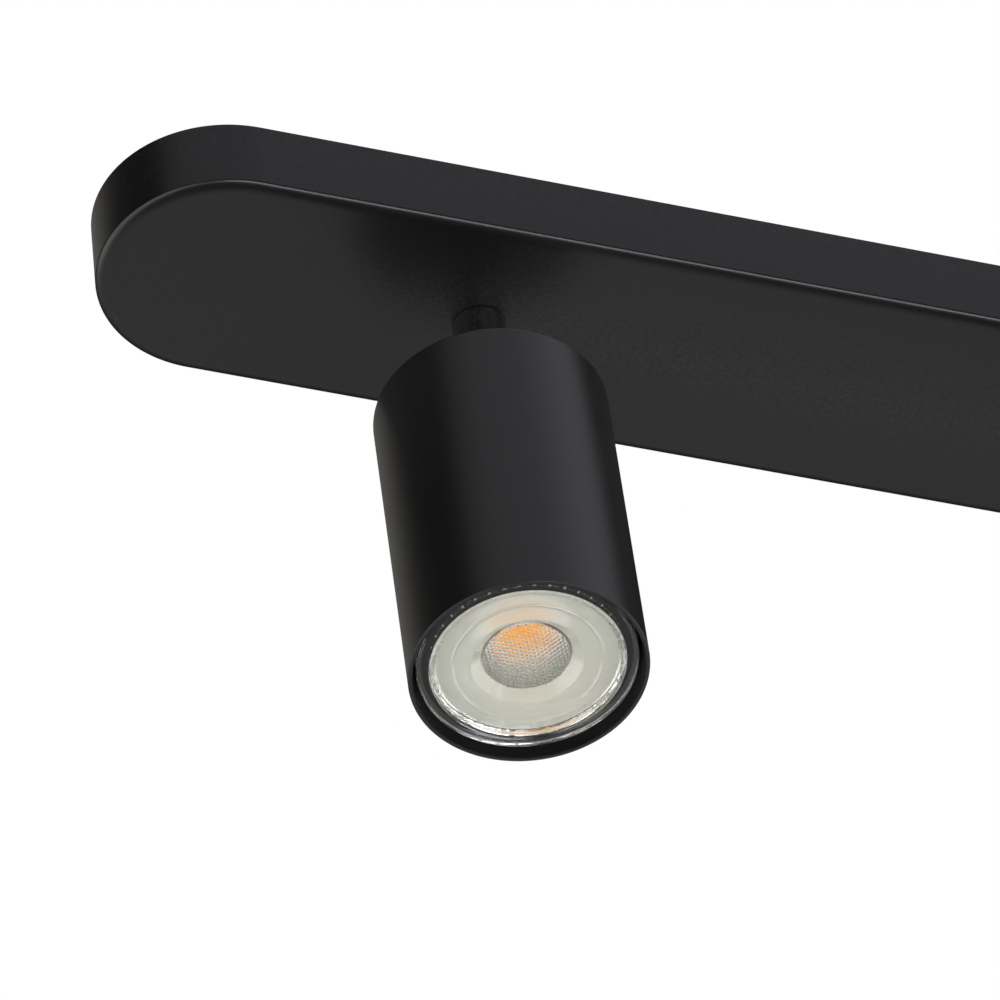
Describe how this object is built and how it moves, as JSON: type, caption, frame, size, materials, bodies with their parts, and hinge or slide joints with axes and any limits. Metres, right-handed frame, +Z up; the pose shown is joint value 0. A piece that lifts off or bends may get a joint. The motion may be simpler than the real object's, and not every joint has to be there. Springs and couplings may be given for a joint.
{
  "type": "ceiling spotlight bar",
  "caption": "Ceiling-mounted bar light: pill-shaped canopy carrying cylindrical spot heads on short swivelling, tilting knuckles, with twist-lock reflector lamps.",
  "frame": {"origin": "centre of the mounting face, on the ceiling plane, in the middle of the bar", "axes": "+Z up into the ceiling, +X along the bar, heads hang towards -Z and lean slightly towards -Y at rest"},
  "size_m": [0.555, 0.0666, 0.1415],
  "materials": {
    "canopy_coat": "satin black powder coat with a fine texture, on pressed steel",
    "head_coat": "satin black powder coat with a fine texture",
    "knuckle_coat": "satin black powder coat on turned steel",
    "screw_coat": "black-finished screw",
    "zinc_fixings": "bright zinc plate",
    "zinc_bracket": "zinc-plated strip steel",
    "pivot_steel": "black oxide steel",
    "earth_brass": "plain turned brass",
    "terminal_plastic": "moulded white nylon",
    "lead_sleeve": "braided glass-fibre sleeve",
    "holder_ceramic": "unglazed white steatite",
    "lamp_base": "smooth white base with nickel-plated pins",
    "lamp_glass": "pressed glass, clear rim over a reflective bowl",
    "lamp_lens": "clear moulded lens, frosted field and dimpled centre",
    "lamp_phosphor": "orange-yellow phosphor disc on a board"
  },
  "bodies": {
    "bar": {"canopy": "canopy_coat", "canopy_lead_1": "lead_sleeve", "canopy_lead_2": "lead_sleeve", "canopy_lead_3": "lead_sleeve", "ceiling_bracket": "zinc_bracket", "cover_screw_1": "screw_coat", "cover_screw_2": "screw_coat", "cover_screw_3": "screw_coat", "cover_screw_4": "screw_coat", "earth_nut": "earth_brass", "earth_stud": "earth_brass", "terminal_block": "terminal_plastic"},
    "swivel_1": {"stem_1": "knuckle_coat", "stem_nut_1": "zinc_fixings", "stem_washer_1": "zinc_fixings"},
    "head_1": {"head_lead_1": "lead_sleeve", "head_shell_1": "head_coat", "holder_screw_1a": "zinc_fixings", "holder_screw_1b": "zinc_fixings", "holder_strap_1": "zinc_bracket", "knuckle_1": "knuckle_coat", "knuckle_nut_1": "zinc_fixings", "lampholder_1": "holder_ceramic", "pivot_screw_1": "pivot_steel"},
    "lamp_1": {"lamp_base_1": "lamp_base", "lamp_body_1": "lamp_glass", "lamp_chip_1": "lamp_phosphor", "lamp_lens_1": "lamp_lens"},
    "swivel_2": {"stem_2": "knuckle_coat", "stem_nut_2": "zinc_fixings", "stem_washer_2": "zinc_fixings"},
    "head_2": {"head_lead_2": "lead_sleeve", "head_shell_2": "head_coat", "holder_screw_2a": "zinc_fixings", "holder_screw_2b": "zinc_fixings", "holder_strap_2": "zinc_bracket", "knuckle_2": "knuckle_coat", "knuckle_nut_2": "zinc_fixings", "lampholder_2": "holder_ceramic", "pivot_screw_2": "pivot_steel"},
    "lamp_2": {"lamp_base_2": "lamp_base", "lamp_body_2": "lamp_glass", "lamp_chip_2": "lamp_phosphor", "lamp_lens_2": "lamp_lens"},
    "swivel_3": {"stem_3": "knuckle_coat", "stem_nut_3": "zinc_fixings", "stem_washer_3": "zinc_fixings"},
    "head_3": {"head_lead_3": "lead_sleeve", "head_shell_3": "head_coat", "holder_screw_3a": "zinc_fixings", "holder_screw_3b": "zinc_fixings", "holder_strap_3": "zinc_bracket", "knuckle_3": "knuckle_coat", "knuckle_nut_3": "zinc_fixings", "lampholder_3": "holder_ceramic", "pivot_screw_3": "pivot_steel"},
    "lamp_3": {"lamp_base_3": "lamp_base", "lamp_body_3": "lamp_glass", "lamp_chip_3": "lamp_phosphor", "lamp_lens_3": "lamp_lens"}
  },
  "joints": [
    {"name": "head_1_swivel", "type": "hinge", "parent": "bar", "child": "swivel_1", "pos_m": [-0.185, 0, -0.02], "axis": [0, 0, 1], "range_deg": [-170, 170]},
    {"name": "head_1_tilt", "type": "hinge", "parent": "swivel_1", "child": "head_1", "pos_m": [-0.185, 0, -0.0365], "axis": [1, 0, 0], "range_deg": [-54.5, 61.5]},
    {"name": "lamp_1_twist", "type": "hinge", "parent": "head_1", "child": "lamp_1", "pos_m": [-0.185, -0.00617, -0.13741], "axis": [0, -0.061, -0.9981], "range_deg": [0, 25]},
    {"name": "head_2_swivel", "type": "hinge", "parent": "bar", "child": "swivel_2", "pos_m": [0, 0, -0.02], "axis": [0, 0, 1], "range_deg": [-170, 170]},
    {"name": "head_2_tilt", "type": "hinge", "parent": "swivel_2", "child": "head_2", "pos_m": [0, 0, -0.0365], "axis": [1, 0, 0], "range_deg": [-54.5, 61.5]},
    {"name": "lamp_2_twist", "type": "hinge", "parent": "head_2", "child": "lamp_2", "pos_m": [0, -0.00617, -0.13741], "axis": [0, -0.061, -0.9981], "range_deg": [0, 25]},
    {"name": "head_3_swivel", "type": "hinge", "parent": "bar", "child": "swivel_3", "pos_m": [0.185, 0, -0.02], "axis": [0, 0, 1], "range_deg": [-170, 170]},
    {"name": "head_3_tilt", "type": "hinge", "parent": "swivel_3", "child": "head_3", "pos_m": [0.185, 0, -0.0365], "axis": [1, 0, 0], "range_deg": [-54.5, 61.5]},
    {"name": "lamp_3_twist", "type": "hinge", "parent": "head_3", "child": "lamp_3", "pos_m": [0.185, -0.00617, -0.13741], "axis": [0, -0.061, -0.9981], "range_deg": [0, 25]}
  ]
}
